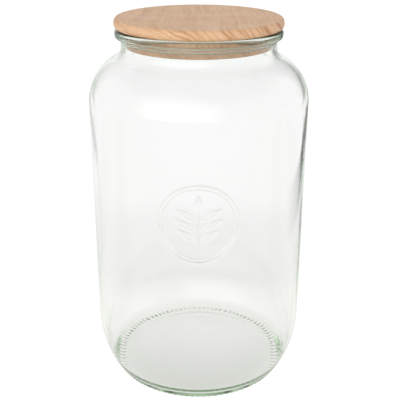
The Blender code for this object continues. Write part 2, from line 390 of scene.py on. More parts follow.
def inner_line(jar):
    """The inside of the jar, from the middle of its floor up to the mouth."""
    floor_radius = jar.panel_radius - jar.foot_inset - jar.inner_foot_inset
    points = []
    for share in (0.0, 0.10, 0.25, 0.45, 0.65, 0.82, 0.93):
        crown = jar.floor_crown * (1.0 - share * share)
        points.append((floor_radius * share, jar.floor_height + crown))
    wall_radius = jar.panel_radius - jar.wall
    corner = jar.inner_corner
    points += heel_line(jar, wall_radius, floor_radius, jar.floor_height, corner, INSIDE_STEPS)
    top = shoulder_start(jar)
    for share in spread(0.0, 1.0, INSIDE_ROWS + 1)[1:]:
        points.append((wall_radius, jar.heel_height + (top - jar.heel_height) * share))
    fillet = jar.neck_fillet + jar.neck_wall
    points += shoulder_line(jar, jar.wall, jar.mouth_radius, fillet, INSIDE_STEPS)
    return points


def rim_line(jar):
    """Over the rim: mouth's round, flat land, full bead, groove, band and undercut."""
    rim_radius = neck_radius(jar) + jar.rim_overhang
    mouth_middle = jar.height - jar.mouth_round
    points = [(jar.mouth_radius, mouth_middle)]
    land = jar.mouth_radius + jar.mouth_round
    points += arc(land, mouth_middle, jar.mouth_round, math.pi, math.pi / 2.0, 7)
    bead, drop = jar.bead_inset, jar.bead_drop
    points.append((rim_radius - bead, jar.height))
    points += oval_arc(rim_radius - bead, jar.height - drop, bead, drop, math.pi / 2.0, 0.0, 10)
    for share in spread(0.0, 1.0, 9):
        depth = jar.groove_depth * math.sin(math.pi * share) + jar.band_inset * share**2
        height = jar.height - jar.groove_drop + jar.groove_width * (0.5 - share)
        points.append((rim_radius - depth, height))
    band_bottom = band_top(jar) - jar.band_height
    out = jar.rim_overhang - jar.band_inset
    for angle in spread(0.0, math.pi, 13):
        share = 0.5 * (1.0 + math.cos(angle))
        down = (angle - 0.25 * math.sin(angle)) / math.pi
        points.append((neck_radius(jar) + out * share, band_bottom - jar.undercut_height * down))
    return points


def outer_wall_heights(jar, relief):
    """Heights of the rows of the outer wall from the shoulder down to the heel."""
    high = relief.middle + RELIEF_ROWS * RELIEF_STEP / 2.0
    low = relief.middle - RELIEF_ROWS * RELIEF_STEP / 2.0
    above = spread(shoulder_start(jar), high, ROWS_ABOVE + 1)
    fine = spread(high, low, RELIEF_ROWS + 1)
    below = spread(low, jar.heel_height, ROWS_BELOW + 1)
    return above[1:] + fine[1:] + below[1:]


def jar_outline(jar, ring, relief):
    """The glass body's outline, with the rows where the relief and the bearing ring lie."""
    points = inner_line(jar) + rim_line(jar)
    shoulder = shoulder_line(jar, 0.0, neck_radius(jar), jar.neck_fillet, OUTSIDE_STEPS)
    points += reversed(shoulder)
    wall_radius = jar.panel_radius
    points.append((wall_radius, shoulder_start(jar)))
    relief_row = len(points) + ROWS_ABOVE - 1
    points += [(wall_radius, height) for height in outer_wall_heights(jar, relief)]
    foot_radius = wall_radius - jar.foot_inset
    corner = jar.heel_corner
    heel = heel_line(jar, wall_radius, foot_radius, ring.height, corner, OUTSIDE_STEPS)
    points += heel[-2::-1]
    ring_row = len(points) - 1 - (RING_ROWS - len(FOOT_SHARES))
    foot_inner = foot_radius - jar.foot_width
    for share in FOOT_SHARES:
        points.append((foot_radius - jar.foot_width * share, ring.height))
    for left in spread(1.0, 0.0, PUSH_UP_ROWS + 1)[1:]:
        points.append((foot_inner * left, ring.height + jar.push_up * (1.0 - left**2)))
    points[0] = (0.0, points[0][1])
    points[-1] = (0.0, points[-1][1])
    return points, relief_row, ring_row


def lid_outline(lid):
    """The lid, from the middle of its top face round its full edge and down the grooved plug."""
    points = [(0.0, lid.top)]
    for share in (0.15, 0.35, 0.55, 0.75, 0.90):
        points.append((lid.radius * share, lid.top))
    points.append((lid.radius - lid.top_inset, lid.top))
    belly = lid.top - lid.belly_drop
    inset, height = lid.top_inset, lid.belly_drop
    points += oval_arc(lid.radius - inset, belly, inset, height, math.pi / 2.0, 0.0, 14)
    inset, height = lid.bottom_inset, belly - lid.seat
    points += oval_arc(lid.radius - inset, belly, inset, height, 0.0, -math.pi / 2.0, 10)
    round_edge = lid.plug_chamfer
    points += [
        (lid.plug_radius, lid.seat),
        (lid.plug_radius, lid.groove_top),
        (lid.groove_radius, lid.groove_top),
        (lid.groove_radius, lid.groove_bottom),
        (lid.plug_radius, lid.groove_bottom),
        (lid.plug_radius, lid.plug_bottom + round_edge),
    ]
    centre = (lid.plug_radius - round_edge, lid.plug_bottom + round_edge)
    points += arc(*centre, round_edge, 0.0, -math.pi / 2.0, 4)
    for share in (0.75, 0.5, 0.25, 0.0):
        points.append((lid.plug_radius * share, lid.plug_bottom))
    return points


def seal_outline(seal):
    """The ring's section, closed: flat back, rounded nose."""
    middle = (seal.low + seal.high) / 2.0
    half = (seal.high - seal.low) / 2.0
    shoulder = seal.outer - seal.nose
    points = [(seal.inner, seal.low), (seal.inner, seal.high), (shoulder, seal.high)]
    points += oval_arc(shoulder, middle, seal.nose, half, math.pi / 2.0, -math.pi / 2.0, 14)
    points.append(points[0])
    return points


# The glass body: a turned skin with finer blocks for the relief and the bearing ring


def line_rise(distance, width):
    """A rounded line in relief: 1 on its middle, 0 beyond its edges."""
    return smooth_step(1.45 - np.abs(distance) / (width * 0.5))


def oval_distance(across, up, half_width, half_height):
    """Distance from an oval, near enough for a thin line."""
    reach = np.sqrt((across / half_width) ** 2 + (up / half_height) ** 2)
    slope = np.sqrt((across / half_width**2) ** 2 + (up / half_height**2) ** 2)
    return (reach - 1.0) * reach / np.maximum(slope, 1e-6)


def leaf_rise(across, up, foot, tip, half_width):
    """A pointed leaf in relief from its foot to its tip, with a sunk midrib."""
    foot = np.array(foot)
    way = np.array(tip) - foot
    reach = float(np.hypot(way[0], way[1]))
    way = way / reach
    along = ((across - foot[0]) * way[0] + (up - foot[1]) * way[1]) / reach
    aside = np.abs((across - foot[0]) * way[1] - (up - foot[1]) * way[0])
    edge = half_width * np.sin(np.pi * np.clip(along, 0.0, 1.0) ** 0.85) - aside
    edge = np.where((along > 0.0) & (along < 1.0), edge, -1.0)
    body = smooth_step(edge / (half_width * 0.35))
    rib = line_rise(aside, half_width * 0.35) * smooth_step((0.8 - along) / 0.1)
    return body * (1.0 - 0.75 * rib)


def ornament_rise(across, up, relief):
    """Height of the ornament as a share of its rise: an oval, a thinner oval and a leafy sprig."""
    half_width = relief.width / 2.0 - relief.line
    half_height = relief.height / 2.0 - relief.line
    rise = line_rise(oval_distance(across, up, half_width, half_height), relief.line)
    inset = relief.line * 2.2
    thin = oval_distance(across, up, half_width - inset, half_height - inset)
    rise = np.maximum(rise, 0.7 * line_rise(thin, relief.line * 0.75))
    stem_length = half_height * 0.62
    stem = np.where(np.abs(up) < stem_length, np.abs(across), 1.0)
    rise = np.maximum(rise, 0.9 * line_rise(stem, relief.line * 0.85))
    leaf = relief.width * 0.052
    top = half_height * 0.78
    rise = np.maximum(rise, leaf_rise(across, up, (0.0, top * 0.42), (0.0, top), leaf))
    for share in (-0.56, -0.22, 0.12):
        foot = top * share
        for side in (-1.0, 1.0):
            out = half_width * (0.66 - 0.20 * abs(share + 0.15))
            tip = (side * out, foot + top * 0.42)
            start = (side * relief.line * 0.6, foot)
            rise = np.maximum(rise, leaf_rise(across, up, start, tip, leaf))
    return rise


def ring_of(points, radius, height, count):
    """Add a ring of points and return their numbers, or one point on the axis."""
    if radius <= 0.0:
        points.append((0.0, 0.0, height))
        return [len(points) - 1] * count
    first = len(points)
    for column in range(count):
        angle = 2.0 * math.pi * column / count
        points.append((radius * math.cos(angle), radius * math.sin(angle), height))
    return list(range(first, first + count))


def fine_block(points, faces, between, rows, block, finer, place):
    """Fill a block of the skin with a finer mesh, and note the new points on its borders.

    A block is its first row, its count of rows, its first column and its count of columns.
    """
    start, row_count, column_start, column_count = block
    row_fine, column_fine = finer
    total_rows = row_count * row_fine
    total_columns = column_count * column_fine
    wraps = column_count == COLUMNS
    numbers = {}
    for fine_row in range(total_rows + 1):
        for fine_column in range(total_columns + (0 if wraps else 1)):
            if fine_row % row_fine == 0 and fine_column % column_fine == 0:
                column = (column_start + fine_column // column_fine) % COLUMNS
                numbers[fine_row, fine_column] = rows[start + fine_row // row_fine][column]
            else:
                angle = 2.0 * math.pi * (column_start + fine_column / column_fine) / COLUMNS
                points.append(place(start + fine_row / row_fine, angle))
                numbers[fine_row, fine_column] = len(points) - 1

    def number(fine_row, fine_column):
        return numbers[fine_row, fine_column % total_columns if wraps else fine_column]

    for fine_row in (0, total_rows):
        for first in range(0, total_columns, column_fine):
            chain = [number(fine_row, first + step) for step in range(column_fine + 1)]
            between[chain[0], chain[-1]] = chain[1:-1]
    if not wraps:
        for fine_column in (0, total_columns):
            for first in range(0, total_rows, row_fine):
                chain = [number(first + step, fine_column) for step in range(row_fine + 1)]
                between[chain[0], chain[-1]] = chain[1:-1]
    for row in range(total_rows):
        for column in range(total_columns):
            corners = ((row, column), (row + 1, column), (row + 1, column + 1), (row, column + 1))
            faces.append(tuple(number(*corner) for corner in corners))
    return list(numbers.values())


def in_block(row, column, block):
    """Whether a face of the skin lies in a block."""
    start, row_count, column_start, column_count = block
    in_rows = start <= row < start + row_count
    return in_rows and column_start <= column < column_start + column_count


def skin_faces(faces, rows, between, blocks):
    """The skin's faces outside its finer blocks, with the blocks' border points worked in."""
    for row, (upper, lower) in enumerate(zip(rows, rows[1:])):
        for column in range(COLUMNS):
            if any(in_block(row, column, block) for block in blocks):
                continue
            after = (column + 1) % COLUMNS
            corners = [upper[column], lower[column], lower[after], upper[after]]
            loop = []
            for one, other in zip(corners, corners[1:] + corners[:1]):
                if one == other:
                    continue
                loop.append(one)
                if (one, other) in between:
                    loop += between[one, other]
                elif (other, one) in between:
                    loop += reversed(between[other, one])
            faces.append(tuple(loop))


def glass_mesh(jar, ring, relief):
    """The glass body as one closed skin."""
    outline, relief_row, ring_row = jar_outline(jar, ring, relief)
    mouth_row = len(inner_line(jar))
    points = []
    rows = []
    for number, (radius, height) in enumerate(outline):
        first = len(points)
        rows.append(ring_of(points, radius, height, COLUMNS))
        if number < mouth_row and radius > 0.0:
            for place in range(first, len(points)):
                points[place] = moulded(points[place], radius, jar)
    faces = []
    between = {}
    column_start = (COLUMNS * 3) // 4 - RELIEF_COLUMNS // 2

    relief_block = (relief_row, RELIEF_ROWS, column_start, RELIEF_COLUMNS)
    ring_block = (ring_row, RING_ROWS, 0, COLUMNS)

    def on_wall(row, angle):
        first = math.floor(row)
        low, high = outline[first][1], outline[first + 1][1]
        height = low + (high - low) * (row - first)
        return (jar.panel_radius * math.cos(angle), jar.panel_radius * math.sin(angle), height)

    def on_ring(row, angle):
        radius, height = outline[round(row)]
        return (radius * math.cos(angle), radius * math.sin(angle), height)

    finer = (RELIEF_FINENESS, RELIEF_FINENESS)
    front = fine_block(points, faces, between, rows, relief_block, finer, on_wall)
    fine_block(points, faces, between, rows, ring_block, (1, RING_FINENESS), on_ring)
    skin_faces(faces, rows, between, (relief_block, ring_block))
    places = np.array(points)
    chosen = np.array(sorted(set(front)))
    x, y, z = places[chosen].T
    radius = np.hypot(x, y)
    angle = np.arctan2(x, -y)
    rise = relief.rise * ornament_rise(angle * jar.panel_radius, z - relief.middle, relief)
    places[chosen, 0] = np.sin(angle) * (radius + rise)
    places[chosen, 1] = -np.cos(angle) * (radius + rise)
    mesh = bpy.data.meshes.new("jar_glass")
    mesh.from_pydata([tuple(place) for place in places], [], faces)
    mesh.validate()
    return mesh


def moulded(place, radius, jar):
    """Move a point of the inside a little, as the inside of moulded glass is never quite even."""
    x, y, z = place
    uneven = 0.0
    for share, across, up, shift in WALL_WAVES:
        wave = Vector((x / radius * across, y / radius * across, z * up + shift))
        uneven += share * noise.noise(wave)
    height = min(1.0, z / jar.heel_height)
    scale = 1.0 + jar.waviness * uneven * height / radius
    return (x * scale, y * scale, z)


# Node helpers


def fill(tree, node, values):
    """Set inputs of a node, by name or place, to a number or a colour, or link a socket to them."""
    for place, value in values.items():
        if isinstance(value, (int, float, tuple)):
            node.inputs[place].default_value = value
        else:
            tree.links.new(value, node.inputs[place])


def node_of(tree, kind, *values, inputs=None, **settings):
    """A node with its settings. The values go to its first inputs, in order."""
    node = tree.nodes.new(kind)
    for name, value in settings.items():
        setattr(node, name, value)
    fill(tree, node, {**dict(enumerate(values)), **(inputs or {})})
    return node


def maths(tree, operation, *values):
    """A Math node. Each value is a number or a socket."""
    return node_of(tree, "ShaderNodeMath", *values, operation=operation).outputs[0]


def product(tree, first, *others):
    """The product of some values."""
    for other in others:
        first = maths(tree, "MULTIPLY", first, other)
    return first


def distance(tree, one, other):
    """Distance from an axis, from the two measures across it."""
    total = maths(tree, "ADD", product(tree, one, one), product(tree, other, other))
    return maths(tree, "SQRT", total)


def across_axis(tree, radius, turn):
    """The two measures across the axis, from the distance from it and the turn about it."""
    return [product(tree, radius, maths(tree, way, turn)) for way in ("COSINE", "SINE")]


def map_range(tree, value, low, high, to_low=0.0, to_high=1.0, smooth=False):
    """A clamped Map Range node."""
    kind = "SMOOTHSTEP" if smooth else "LINEAR"
    values = (value, low, high, to_low, to_high)
    return node_of(tree, "ShaderNodeMapRange", *values, interpolation_type=kind).outputs[0]


def split(tree, vector):
    """The three measures of a vector."""
    return node_of(tree, "ShaderNodeSeparateXYZ", vector).outputs


def joined(tree, x, y, z):
    """A vector of three measures."""
    return node_of(tree, "ShaderNodeCombineXYZ", x, y, z).outputs[0]


def new_group(name, tree_kind, given, made):
    """A node group with its inputs and outputs, each a default number or a kind of socket.

    Returns the group, its inputs and its output node.
    """
    tree = bpy.data.node_groups.new(name, tree_kind)
    for direction, sockets in (("INPUT", given), ("OUTPUT", made)):
        for label, value in sockets.items():
            number = NUMBER_KINDS.get(type(value))
            kind = f"NodeSocket{number or value}"
            socket = tree.interface.new_socket(name=label, in_out=direction, socket_type=kind)
            if number:
                socket.default_value = value
    return tree, node_of(tree, "NodeGroupInput").outputs, node_of(tree, "NodeGroupOutput")


# Geometry Nodes: a turned outline, and the bars of the bearing ring


def finish_tree(tree, geometry, given, output):
    """End a geometry tree: real geometry with its material."""
    real = node_of(tree, "GeometryNodeRealizeInstances", geometry)
    inputs = {"Geometry": real.outputs[0], "Material": given["Finish"]}
    finish = node_of(tree, "GeometryNodeSetMaterial", inputs=inputs)
    fill(tree, output, {"Geometry": finish.outputs[0]})


def turning_tree():
    """Turn an outline, drawn as a row of points in the XZ plane, about the Z axis."""
    tree, given, output = new_group(
        "Turned Outline",
        "GeometryNodeTree",
        {
            "Geometry": "Geometry",
            "Steps": TURNED_STEPS,
            "Closing Distance": 0.00001,
            "Finish": "Material",
        },
        {"Geometry": "Geometry"},
    )
    count = node_of(tree, "GeometryNodeAttributeDomainSize", given["Geometry"], component="MESH")
    points = count.outputs["Point Count"]
    rows = maths(tree, "ADD", given["Steps"], 1.0)
    inputs = {"Size X": 1.0, "Size Y": 1.0, "Vertices X": points, "Vertices Y": rows}
    grid = node_of(tree, "GeometryNodeMeshGrid", inputs=inputs)
    place = node_of(tree, "GeometryNodeInputPosition").outputs[0]
    across, up, _ = split(tree, place)
    last = maths(tree, "SUBTRACT", points, 1.0)
    row = maths(tree, "ROUND", product(tree, maths(tree, "ADD", across, 0.5), last))
    turn = product(tree, maths(tree, "ADD", up, 0.5), 2.0 * math.pi)
    inputs = {"Geometry": given["Geometry"], "Value": place, "Index": row}
    settings = {"data_type": "FLOAT_VECTOR", "domain": "POINT"}
    sample = node_of(tree, "GeometryNodeSampleIndex", inputs=inputs, **settings)
    radius, _, height = split(tree, sample.outputs[0])
    turned = joined(tree, *across_axis(tree, radius, turn), height)
    inputs = {"Geometry": grid.outputs["Mesh"], "Position": turned}
    move = node_of(tree, "GeometryNodeSetPosition", inputs=inputs)
    inputs = {"Geometry": move.outputs[0], "Distance": given["Closing Distance"]}
    merge = node_of(tree, "GeometryNodeMergeByDistance", inputs=inputs)
    finish_tree(tree, merge.outputs[0], given, output)
    return tree


def bearing_ring_tree():
    """Raise evenly spaced radial bars on a flat foot and on the start of the corner beside it."""
    tree, given, output = new_group(
        "Bearing Ring",
        "GeometryNodeTree",
        {
            "Geometry": "Geometry",
            "Bars": 96,
            "Bar Height": 0.0003,
            "Root Width": 0.0022,
            "Crest Width": 0.0006,
            "Inner Radius": 0.0636,
            "Foot Radius": 0.0676,
            "Corner Radius": 0.0058,
            "Climb": 0.803,
            "Finish": "Material",
        },
        {"Geometry": "Geometry"},
    )
    x, y, z = split(tree, node_of(tree, "GeometryNodeInputPosition").outputs[0])
    radius = distance(tree, x, y)
    around = maths(tree, "ARCTAN2", y, x)

    # How much of a bar's height each point gets, from its distance to the nearest bar's middle
    pitch = maths(tree, "DIVIDE", 2.0 * math.pi, given["Bars"])
    turns = maths(tree, "DIVIDE", around, pitch)
    off = maths(tree, "ABSOLUTE", maths(tree, "SUBTRACT", turns, maths(tree, "ROUND", turns)))
    off = product(tree, off, pitch, radius)
    half_root = product(tree, given["Root Width"], 0.5)
    half_crest = product(tree, given["Crest Width"], 0.5)
    side = map_range(tree, off, half_root, half_crest)

    # The skin of the flat foot and of the corner lies at one distance from the corner's centre line
    out = maths(tree, "MAXIMUM", maths(tree, "SUBTRACT", radius, given["Foot Radius"]), 0.0)
    centre_height = maths(tree, "ADD", given["Bar Height"], given["Corner Radius"])
    below = maths(tree, "SUBTRACT", centre_height, z)
    reach = distance(tree, out, below)
    skin = maths(tree, "COMPARE", reach, given["Corner Radius"], SKIN_TOLERANCE)
    skin = product(tree, skin, maths(tree, "GREATER_THAN", below, 0.0))

    # The bars run out at both ends
    climbed = maths(tree, "ARCTAN2", out, below)
    fade = product(tree, given["Climb"], BAR_FADE_SHARE)
    outer_end = map_range(tree, climbed, given["Climb"], fade)
    from_inside = maths(tree, "SUBTRACT", radius, given["Inner Radius"])
    inner_end = map_range(tree, from_inside, 0.0, BAR_FADE_LENGTH)

    drop = product(tree, side, outer_end, inner_end, skin, given["Bar Height"])
    drop = maths(tree, "DIVIDE", drop, reach)
    outward = across_axis(tree, product(tree, drop, out), around)
    offset = joined(tree, *outward, product(tree, drop, below, -1.0))
    inputs = {"Geometry": given["Geometry"], "Offset": offset}
    move = node_of(tree, "GeometryNodeSetPosition", inputs=inputs)
    finish_tree(tree, move.outputs[0], given, output)
    return tree


def shaped(piece, tree, values, sharp_angle):
    """Run a geometry tree on a piece and turn the result into its plain mesh."""
    modifier = piece.modifiers.new(tree.name, "NODES")
    modifier.node_group = tree
    for item in tree.interface.items_tree:
        if item.in_out == "INPUT" and item.name in values:
            modifier[item.identifier] = values[item.name]
    graph = bpy.context.evaluated_depsgraph_get()
    mesh = bpy.data.meshes.new_from_object(piece.evaluated_get(graph))
    piece.modifiers.clear()
    old = piece.data
    piece.data = mesh
    bpy.data.meshes.remove(old)
    mesh.name = piece.name
    mesh.shade_smooth()
    mesh.set_sharp_from_angle(angle=sharp_angle)
    return piece


def new_piece(name, mesh):
    """Link an object that sits at the origin, with its place in its mesh."""
    piece = bpy.data.objects.new(name, mesh)
    bpy.context.scene.collection.objects.link(piece)
    return piece


def turned_piece(name, outline, finish):
    """A piece turned from an outline."""
    mesh = bpy.data.meshes.new(name)
    edges = [(number, number + 1) for number in range(len(outline) - 1)]
    mesh.from_pydata([(radius, 0.0, height) for radius, height in outline], edges, [])
    tree = bpy.data.node_groups.get("Turned Outline") or turning_tree()
    values = {"Steps": TURNED_STEPS, "Finish": finish}
    return shaped(new_piece(name, mesh), tree, values, TURNED_SHARP)


# Materials


def new_material(name):
    """A material with its shader and the Object coordinates."""
    material = bpy.data.materials.new(name)
    material.use_nodes = True
    tree = material.node_tree
    coordinates = node_of(tree, "ShaderNodeTexCoord")
    return material, tree, tree.nodes["Principled BSDF"], coordinates.outputs["Object"]


def texture(tree, place, scale, detail, roughness=0.5):
    """Noise at a place."""
    inputs = {"Vector": place, "Scale": scale, "Detail": detail, "Roughness": roughness}
    return node_of(tree, "ShaderNodeTexNoise", inputs=inputs).outputs["Fac"]


def scaled_place(tree, place, scale, offset=(0.0, 0.0, 0.0)):
    """The place, moved and scaled along each axis."""
    inputs = {"Vector": place, "Location": offset, "Scale": scale}
    return node_of(tree, "ShaderNodeMapping", inputs=inputs).outputs[0]


def mixed(tree, share, one, other):
    """A colour mix. Each colour is a socket or a linear colour."""
    inputs = {0: share, 6: one, 7: other}
    return node_of(tree, "ShaderNodeMix", inputs=inputs, data_type="RGBA").outputs[2]


def bump(tree, shader, height, strength, depth):
    """A Bump node that feeds the shader's normal."""
    inputs = {"Height": height, "Strength": strength, "Distance": depth}
    node = node_of(tree, "ShaderNodeBump", inputs=inputs)
    fill(tree, shader, {"Normal": node.outputs[0]})


def handling_group():
    """Small changes of polish and surface that every handled surface has."""
    tree, given, output = new_group(
        "Handled Surface",
        "ShaderNodeTree",
        {
            "Vector": "Vector",
            "Base Roughness": 0.5,
            "Roughness Change": 0.1,
            "Mark Size": 0.02,
            "Grain Size": 0.001,
        },
        {"Roughness": "Float", "Height": "Float"},
    )
    marks, grain = [
        texture(tree, given["Vector"], maths(tree, "DIVIDE", 1.0, given[size]), 3.0)
        for size in ("Mark Size", "Grain Size")
    ]
    change = product(tree, map_range(tree, marks, 0.35, 0.65, -1.0, 1.0), given["Roughness Change"])
    roughness = maths(tree, "ADD", given["Base Roughness"], change)
    fill(tree, output, {"Roughness": roughness, "Height": grain})
    return tree


def handled(tree, shader, place, roughness, change, mark_size, grain_size):
    """Put the shared surface in a material. Returns the height of its fine grain."""
    group = bpy.data.node_groups.get("Handled Surface") or handling_group()
    values = (place, roughness, change, mark_size, grain_size)
    node = node_of(tree, "ShaderNodeGroup", *values, node_tree=group)
    fill(tree, shader, {"Roughness": node.outputs["Roughness"]})
    return node.outputs["Height"]


def glass_finish(finish):
    """Clear moulded glass with a green cast where it is thick, and darker where seen edge on:
    partly its green colour, partly painted shade for the edge lines.
    """
    material, tree, shader, place = new_material("clear_glass")
    height = split(tree, place)["Z"]
    thick = map_range(tree, height, finish.neck_glass - NECK_BLEND, finish.neck_glass)
    # Painted shade: seen edge on, the glass turns darker green, partly from its colour and partly
    # as shade on the edge lines.
    facing = node_of(tree, "ShaderNodeLayerWeight", 0.5).outputs["Facing"]
    start = map_range(tree, thick, 0.0, 1.0, *EDGE_GREEN_AND_SHADE_START)
    full = map_range(tree, thick, 0.0, 1.0, *EDGE_GREEN_AND_SHADE_FULL)
    edge = map_range(tree, facing, start, full, smooth=True)
    plain = mixed(tree, thick, (1.0, 1.0, 1.0, 1.0), (*finish.glass_thick, 1.0))
    tint = mixed(tree, edge, plain, (*finish.glass_edge_green_and_shade, 1.0))
    values = {"Base Color": tint, "Metallic": 0.0, "IOR": 1.52, "Transmission Weight": 1.0}
    fill(tree, shader, values)
    surface = handled(tree, shader, place, 0.012, 0.012, 0.030, 0.009)
    bump(tree, shader, surface, 0.10, 0.0002)
    inputs = {"Color": (*finish.glass, 1.0), "Density": finish.glass_density}
    volume = node_of(tree, "ShaderNodeVolumeAbsorption", inputs=inputs)
    fill(tree, tree.nodes["Material Output"], {"Volume": volume.outputs[0]})
    return material


def late_wood(tree, place):
    """Streaks of late wood. The fibres run along Y, and the growth rings dip to the right."""
    wander = texture(tree, scaled_place(tree, place, (26.0, 9.0, 26.0)), 1.0, 3.0)
    x, y, z = split(tree, scaled_place(tree, place, (1.0, 1.0, 1.0), PITH_OFFSET))
    rings = maths(tree, "DIVIDE", distance(tree, x, z), RING_SPACING)
    rings = maths(tree, "ADD", rings, product(tree, wander, RING_WANDER))
    around = product(tree, maths(tree, "ARCTAN2", x, z), 3.0)
    streak = texture(tree, joined(tree, rings, product(tree, y, 9.0), around), 1.0, 4.0, 0.65)
    return map_range(tree, streak, 0.44, 0.66, smooth=True)


def beech_finish(finish):
    """Turned and sanded beech, oiled, with the plug's wood made lighter and redder as painted
    light.
    """
    material, tree, shader, place = new_material("oiled_beech")
    light = (*finish.beech_light, 1.0)
    dark = (*finish.beech_dark, 1.0)
    late = late_wood(tree, place)
    fibre = texture(tree, scaled_place(tree, place, (950.0, 38.0, 950.0)), 1.0, 4.0)
    fleck = texture(tree, scaled_place(tree, place, (1700.0, 260.0, 700.0)), 1.0, 1.0)
    flecks = map_range(tree, fleck, 0.64, 0.72)

    # Flat faces show the streaks less than the turned edge does
    normal = split(tree, node_of(tree, "ShaderNodeTexCoord").outputs["Normal"])
    flat = maths(tree, "POWER", maths(tree, "ABSOLUTE", normal["Z"]), 2.0)
    contrast = map_range(tree, flat, 0.0, 1.0, 1.0, FLAT_CONTRAST)
    wood = mixed(tree, product(tree, late, contrast), light, dark)
    wood = mixed(tree, map_range(tree, fibre, 0.30, 0.70, 0.0, 0.30), wood, dark)
    wood = mixed(tree, product(tree, flecks, 0.30), wood, FLECK_COLOUR)
    # Painted light: below a height the plug's wood is lighter and redder, for light that the lid
    # and the glass keep off it.
    pale = mixed(tree, product(tree, late, 0.5), (*finish.beech_plug_painted_light, 1.0), dark)
    height = split(tree, place)["Z"]
    lit_plug = map_range(tree, height, finish.plug_painted_light_below + PLUG_PAINTED_LIGHT_BLEND, finish.plug_painted_light_below)
    wood = mixed(tree, lit_plug, wood, pale)
    fill(tree, shader, {"Base Color": wood, "Metallic": 0.0, "IOR": 1.5})

    surface = product(tree, handled(tree, shader, place, 0.48, 0.07, 0.018, 0.0006), 0.3)
    surface = maths(tree, "ADD", product(tree, fibre, 0.7), surface)
    surface = maths(tree, "SUBTRACT", surface, product(tree, flecks, 0.4))
    bump(tree, shader, surface, 0.35, 0.00012)
    return material


def silicone_finish(finish):
    """Milky silicone with a satin skin."""
    material, tree, shader, place = new_material("pale_silicone")
    light = (*finish.silicone, 1.0)
    deep = (*[share * 0.90 for share in finish.silicone], 1.0)
    values = {
        "Base Color": mixed(tree, texture(tree, place, 60.0, 2.0), light, deep),
        "Metallic": 0.0,
        "Subsurface Weight": 0.25,
        "Subsurface Radius": (0.004, 0.0036, 0.003),
        "Subsurface Scale": 0.5,
    }
    fill(tree, shader, values)
    surface = handled(tree, shader, place, 0.42, 0.08, 0.012, 0.0008)
    bump(tree, shader, surface, 0.15, 0.00008)
    return material


# Stage: floor, light, cards and camera


def floor_finish(studio):
    """Plain pale floor, white to the camera, with a glow for the glass that changes with Y: painted
    light, dimmer near the jar as painted shadow.
    """
    material, tree, shader, place = new_material("pale_floor")
    ramp = node_of(tree, "ShaderNodeValToRGB")
    elements = ramp.color_ramp.elements
    # Painted light and shadow: the glow lights the glass, and it dips near the jar as painted
    # shadow.
    for number, (away, glow) in enumerate(GLOW_WITH_PAINTED_SHADOW):
        position = 0.5 + 0.5 * away / GLOW_REACH
        element = elements[number] if number < 2 else elements.new(position)
        element.position = position
        element.color = (*glow, 1.0)
    share = map_range(tree, split(tree, place)["Y"], -GLOW_REACH, GLOW_REACH)
    fill(tree, ramp, {0: share})
    values = {
        "Base Color": (*studio.floor, 1.0),
        "Roughness": 0.9,
        "Specular IOR Level": 0.1,
        "Emission Color": ramp.outputs[0],
        "Emission Strength": studio.glow,
    }
    fill(tree, shader, values)
    material.cycles.emission_sampling = "NONE"
    white = node_of(tree, "ShaderNodeEmission", inputs={"Strength": SEEN_WHITE})
    seen = node_of(tree, "ShaderNodeLightPath").outputs["Is Camera Ray"]
    blend = node_of(tree, "ShaderNodeMixShader", seen, shader.outputs[0], white.outputs[0])
    fill(tree, tree.nodes["Material Output"], {"Surface": blend.outputs[0]})
    return material


def sky_light(strength, front):
    """Soft light all round, paler low down, with a wide glow high in front on the left.

    The camera sees plain white. Mirrored or seen through the glass it is darker overhead, so that
    the rim has its lines.
    """
    world = bpy.data.worlds.new("studio")
    bpy.context.scene.world = world
    world.use_nodes = True
    tree = world.node_tree
    direction = node_of(tree, "ShaderNodeTexCoord").outputs["Generated"]
    up = split(tree, direction)["Z"]
    way = tuple(Vector(FRONT_GLOW_WAY).normalized())
    toward = node_of(tree, "ShaderNodeVectorMath", direction, way, operation="DOT_PRODUCT")
    glow = map_range(tree, toward.outputs["Value"], 0.55, 0.98, 0.0, front, smooth=True)
    level = map_range(tree, up, 0.0, 1.0, 0.95, 0.72)
    seen = node_of(tree, "ShaderNodeLightPath").outputs
    ceiling = map_range(tree, up, 0.45, 0.80, 1.0, 0.40, smooth=True)
    ceiling = maths(tree, "MAXIMUM", ceiling, seen["Is Diffuse Ray"])
    total = maths(tree, "ADD", product(tree, level, ceiling), glow)
    inputs = {0: seen["Is Camera Ray"], 2: total, 3: SEEN_WHITE}
    shown = node_of(tree, "ShaderNodeMix", inputs=inputs, data_type="FLOAT").outputs[0]
    values = {"Color": (1.0, 1.0, 1.0, 1.0), "Strength": product(tree, shown, strength)}
    fill(tree, tree.nodes["Background"], values)


def area_light(name, place, target, size, power):
    """A large square soft light that looks at a target and isn't mirrored in the glass."""
    data = bpy.data.lights.new(name, "AREA")
    data.shape = "SQUARE"
    data.size = size
    data.energy = power
    light = bpy.data.objects.new(name, data)
    light.location = place
    light.rotation_euler = (Vector(target) - Vector(place)).to_track_quat("-Z", "Y").to_euler()
    light.visible_glossy = False
    light.visible_transmission = False
    bpy.context.scene.collection.objects.link(light)


def stage_sheet(name, corners, finish):
    """A sheet with four corners that belongs to the stage."""
    mesh = bpy.data.meshes.new(name)
    mesh.from_pydata(corners, [], [(0, 1, 2, 3)])
    mesh.materials.append(finish)
    sheet = new_piece(name, mesh)
    return sheet


